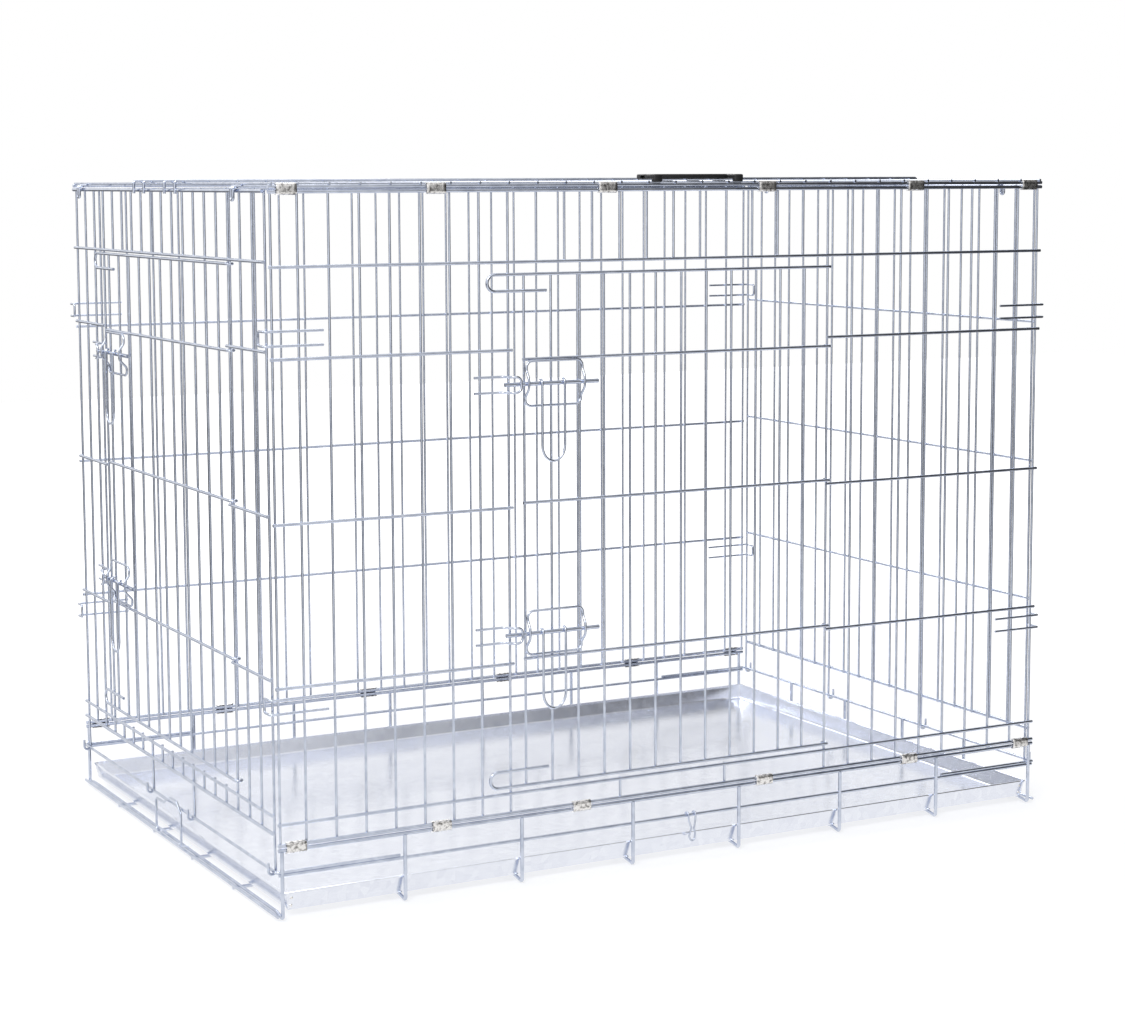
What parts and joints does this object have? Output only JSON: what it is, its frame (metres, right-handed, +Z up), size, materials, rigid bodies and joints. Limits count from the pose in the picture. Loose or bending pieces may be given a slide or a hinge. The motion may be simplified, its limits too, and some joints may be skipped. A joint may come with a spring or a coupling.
{
  "type": "folding wire dog crate",
  "caption": "Folding welded-wire dog crate with a side door, an end door, sliding bolts, a sheet steel tray and a carry handle.",
  "frame": {"origin": "on the floor, under the middle of the crate", "axes": "+X along the long side to the plain end, -Y out of the long side with the wide door, +Z up"},
  "size_m": [1.0846, 0.7214, 0.8263],
  "materials": {
    "zinc_plated_wire": "bright zinc plate",
    "galvanised_sheet": "smooth galvanised",
    "pressed_clip_steel": "bright pressed",
    "black_plastic": "satin"
  },
  "bodies": {
    "base": {"base_frame": "zinc_plated_wire"},
    "tray_clip": {"tray_clip": "zinc_plated_wire"},
    "tray": {"tray": "galvanised_sheet"},
    "tray_latch": {"tray_latch": "zinc_plated_wire"},
    "front_panel": {"front_panel": "zinc_plated_wire", "corner_bracket_front_left_upper": "zinc_plated_wire", "corner_bracket_front_left_lower": "zinc_plated_wire", "corner_bracket_front_right_upper": "zinc_plated_wire", "corner_bracket_front_right_lower": "zinc_plated_wire", "latch_keeper_front_upper": "zinc_plated_wire", "latch_keeper_front_lower": "zinc_plated_wire", "hinge_clip_front_1": "pressed_clip_steel", "hinge_clip_front_2": "pressed_clip_steel", "hinge_clip_front_3": "pressed_clip_steel", "hinge_clip_front_4": "pressed_clip_steel", "hinge_clip_front_5": "pressed_clip_steel", "hinge_clip_front_6": "pressed_clip_steel"},
    "back_panel": {"back_panel": "zinc_plated_wire", "corner_bracket_back_left_upper": "zinc_plated_wire", "corner_bracket_back_left_lower": "zinc_plated_wire", "corner_bracket_back_right_upper": "zinc_plated_wire", "corner_bracket_back_right_lower": "zinc_plated_wire", "hinge_clip_back_1": "pressed_clip_steel", "hinge_clip_back_2": "pressed_clip_steel", "hinge_clip_back_3": "pressed_clip_steel", "hinge_clip_back_4": "pressed_clip_steel", "hinge_clip_back_5": "pressed_clip_steel", "hinge_clip_back_6": "pressed_clip_steel"},
    "left_panel": {"left_panel": "zinc_plated_wire", "latch_keeper_left_upper": "zinc_plated_wire", "latch_keeper_left_lower": "zinc_plated_wire"},
    "right_panel": {"right_panel": "zinc_plated_wire"},
    "top_panel": {"top_panel": "zinc_plated_wire", "hinge_clip_top_1": "pressed_clip_steel", "hinge_clip_top_2": "pressed_clip_steel", "hinge_clip_top_3": "pressed_clip_steel", "hinge_clip_top_4": "pressed_clip_steel", "hinge_clip_top_5": "pressed_clip_steel", "hinge_clip_top_6": "pressed_clip_steel"},
    "carry_handle": {"carry_handle": "black_plastic"},
    "front_door": {"front_door": "zinc_plated_wire", "latch_guide_front_upper": "zinc_plated_wire", "latch_guide_front_lower": "zinc_plated_wire"},
    "left_door": {"left_door": "zinc_plated_wire", "latch_guide_left_upper": "zinc_plated_wire", "latch_guide_left_lower": "zinc_plated_wire"},
    "bolt_front_upper": {"latch_bolt_front_upper": "zinc_plated_wire"},
    "pull_front_upper": {"latch_pull_front_upper": "zinc_plated_wire"},
    "bolt_front_lower": {"latch_bolt_front_lower": "zinc_plated_wire"},
    "pull_front_lower": {"latch_pull_front_lower": "zinc_plated_wire"},
    "bolt_left_upper": {"latch_bolt_left_upper": "zinc_plated_wire"},
    "pull_left_upper": {"latch_pull_left_upper": "zinc_plated_wire"},
    "bolt_left_lower": {"latch_bolt_left_lower": "zinc_plated_wire"},
    "pull_left_lower": {"latch_pull_left_lower": "zinc_plated_wire"}
  },
  "joints": [
    {"name": "front_fold", "type": "hinge", "parent": "base", "child": "front_panel", "pos_m": [0, -0.3524, 0.08], "axis": [-1, 0, 0], "range_deg": [-90, 0]},
    {"name": "back_fold", "type": "hinge", "parent": "base", "child": "back_panel", "pos_m": [0, 0.3524, 0.08], "axis": [1, 0, 0], "range_deg": [-90, 0]},
    {"name": "left_fold", "type": "hinge", "parent": "base", "child": "left_panel", "pos_m": [-0.5324, 0, 0.0554], "axis": [0, -1, 0], "range_deg": [-90, 0]},
    {"name": "right_fold", "type": "hinge", "parent": "base", "child": "right_panel", "pos_m": [0.5324, 0, 0.0554], "axis": [0, 1, 0], "range_deg": [-86, 0]},
    {"name": "top_lift", "type": "hinge", "parent": "front_panel", "child": "top_panel", "pos_m": [0, -0.3524, 0.8086], "axis": [1, 0, 0], "range_deg": [0, 160]},
    {"name": "carry_handle_swing", "type": "hinge", "parent": "top_panel", "child": "carry_handle", "pos_m": [0.013, -0.3524, 0.8141], "axis": [-1, 0, 0], "range_deg": [-90, 0]},
    {"name": "front_door_swing", "type": "hinge", "parent": "front_panel", "child": "front_door", "pos_m": [0.20176, -0.3487, 0.4], "axis": [0, 0, 1], "range_deg": [0, 150]},
    {"name": "left_door_swing", "type": "hinge", "parent": "left_panel", "child": "left_door", "pos_m": [-0.5287, -0.22667, 0.4], "axis": [0, 0, 1], "range_deg": [0, 150]},
    {"name": "tray_slide", "type": "slide", "parent": "base", "child": "tray", "axis": [-1, 0, 0], "range_m": [0, 0.7]},
    {"name": "tray_latch_swing", "type": "hinge", "parent": "tray", "child": "tray_latch", "pos_m": [-0.5364, 0, 0.0116], "axis": [0, -1, 0], "range_deg": [0, 100]},
    {"name": "tray_clip_swing", "type": "hinge", "parent": "base", "child": "tray_clip", "pos_m": [0.005, -0.3524, 0.052], "axis": [-1, 0, 0], "range_deg": [0, 90]},
    {"name": "bolt_slide_front_upper", "type": "slide", "parent": "front_door", "child": "bolt_front_upper", "axis": [1, 0, 0], "range_m": [0, 0.023]},
    {"name": "pull_swing_front_upper", "type": "hinge", "parent": "bolt_front_upper", "child": "pull_front_upper", "pos_m": [-0.19, -0.3579, 0.58748], "axis": [-1, 0, 0], "range_deg": [0, 100]},
    {"name": "bolt_slide_front_lower", "type": "slide", "parent": "front_door", "child": "bolt_front_lower", "axis": [1, 0, 0], "range_m": [0, 0.023]},
    {"name": "pull_swing_front_lower", "type": "hinge", "parent": "bolt_front_lower", "child": "pull_front_lower", "pos_m": [-0.19, -0.3579, 0.29698], "axis": [-1, 0, 0], "range_deg": [0, 100]},
    {"name": "bolt_slide_left_upper", "type": "slide", "parent": "left_door", "child": "bolt_left_upper", "axis": [0, -1, 0], "range_m": [0, 0.023]},
    {"name": "pull_swing_left_upper", "type": "hinge", "parent": "bolt_left_upper", "child": "pull_left_upper", "pos_m": [-0.5379, 0.18, 0.60168], "axis": [0, 1, 0], "range_deg": [0, 100]},
    {"name": "bolt_slide_left_lower", "type": "slide", "parent": "left_door", "child": "bolt_left_lower", "axis": [0, -1, 0], "range_m": [0, 0.023]},
    {"name": "pull_swing_left_lower", "type": "hinge", "parent": "bolt_left_lower", "child": "pull_left_lower", "pos_m": [-0.5379, 0.18, 0.30551], "axis": [0, 1, 0], "range_deg": [0, 100]}
  ]
}
